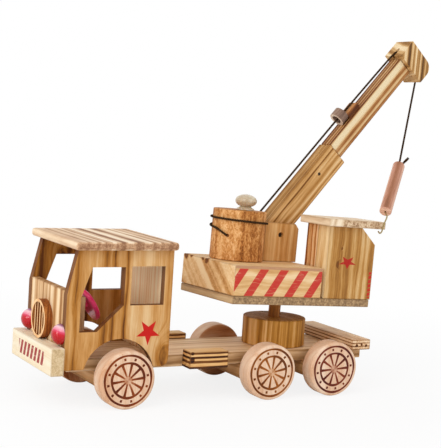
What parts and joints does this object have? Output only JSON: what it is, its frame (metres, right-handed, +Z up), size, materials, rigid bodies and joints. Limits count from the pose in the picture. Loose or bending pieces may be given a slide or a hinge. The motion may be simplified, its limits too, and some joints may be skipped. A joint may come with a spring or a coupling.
{
  "type": "toy crane truck",
  "caption": "Wooden toy crane truck: open cab, rolling wheels, slewing deck with a winch log, a luffing boom and a hook weight on a rope.",
  "frame": {"origin": "bottom centre of the bounding box, on the ground", "axes": "+Z up, -X towards the truck's front, +X to its rear, -Y to its left side"},
  "size_m": [0.3712, 0.1054, 0.301],
  "materials": {
    "wheel": "pale sanded beech, burnt spoke pattern",
    "pine": "scorched and oiled pine, strong grain",
    "ply": "plywood with scorched edges",
    "weight": "pinkish-brown stained wood, satin",
    "lacquer": "glossy crimson",
    "resin": "cream, slightly translucent, glossy",
    "rope": "dark brown twisted twine, matt",
    "steel": "dull steel",
    "brass": "dull brass wire"
  },
  "bodies": {
    "chassis": {"chassis_beam": "pine", "front_axle_block": "pine", "mid_axle_block": "pine", "rear_axle_block": "pine", "cab_side_left": "pine", "cab_side_right": "pine", "cab_front": "pine", "cab_back": "pine", "cab_roof": "pine", "steering_post": "pine", "steering_wheel": "lacquer", "bumper": "pine", "grille": "pine", "headlight_left": "lacquer", "headlight_right": "lacquer", "tank_left": "ply", "tank_right": "ply", "rear_crossbar": "ply", "turntable": "pine"},
    "turret": {"deck_board": "pine", "deck_block": "pine", "slew_peg": "pine", "crane_cab_left": "pine", "crane_cab_right": "pine", "crane_cab_roof": "pine", "bracket_left": "pine", "bracket_right": "pine", "boom_rest": "pine", "boom_pin": "steel", "winch_spindle": "pine", "rope_run": "rope"},
    "winch": {"winch_log": "pine", "winch_knob": "resin", "rope_windings": "rope"},
    "boom": {"boom_lower": "pine", "boom_upper": "pine", "boom_nail": "steel", "guide_ring": "pine", "guide_block": "pine", "boom_head": "pine", "rope_boom": "rope"},
    "hook": {"rope_drop": "rope", "rope_tail": "rope", "hook_weight": "weight", "hook_wire": "brass"},
    "front_wheels": {"front_axle": "steel", "wheel_front_left": "wheel", "wheel_front_right": "wheel"},
    "mid_wheels": {"mid_axle": "steel", "wheel_mid_left": "wheel", "wheel_mid_right": "wheel"},
    "rear_wheels": {"rear_axle": "steel", "wheel_rear_left": "wheel", "wheel_rear_right": "wheel"}
  },
  "joints": [
    {"name": "front_wheels_roll", "type": "hinge", "parent": "chassis", "child": "front_wheels", "pos_m": [-0.12731, 0, 0.0225], "axis": [0, 1, 0], "continuous": true},
    {"name": "mid_wheels_roll", "type": "hinge", "parent": "chassis", "child": "mid_wheels", "pos_m": [-0.00141, 0, 0.0225], "axis": [0, 1, 0], "continuous": true},
    {"name": "rear_wheels_roll", "type": "hinge", "parent": "chassis", "child": "rear_wheels", "pos_m": [0.05869, 0, 0.0225], "axis": [0, 1, 0], "continuous": true},
    {"name": "deck_slew", "type": "hinge", "parent": "chassis", "child": "turret", "pos_m": [0.02999, 0, 0.0732], "axis": [0.045, 0.0202, 0.9988], "continuous": true},
    {"name": "winch_turn", "type": "hinge", "parent": "turret", "child": "winch", "pos_m": [-0.01103, 0.00261, 0.075], "axis": [0.045, 0.0202, 0.9988], "range_deg": [-540, 300]},
    {"name": "boom_luff", "type": "hinge", "parent": "turret", "child": "boom", "pos_m": [0.03141, 0.01706, 0.12686], "axis": [0.0445, -0.9988, 0.0182], "range_deg": [0, 38], "deforming": ["rope_run"]},
    {"name": "hook_swing", "type": "hinge", "parent": "boom", "child": "hook", "pos_m": [0.18004, 0.02626, 0.2679], "axis": [0.0445, -0.9988, 0.0182], "range_deg": [0, 60]}
  ]
}
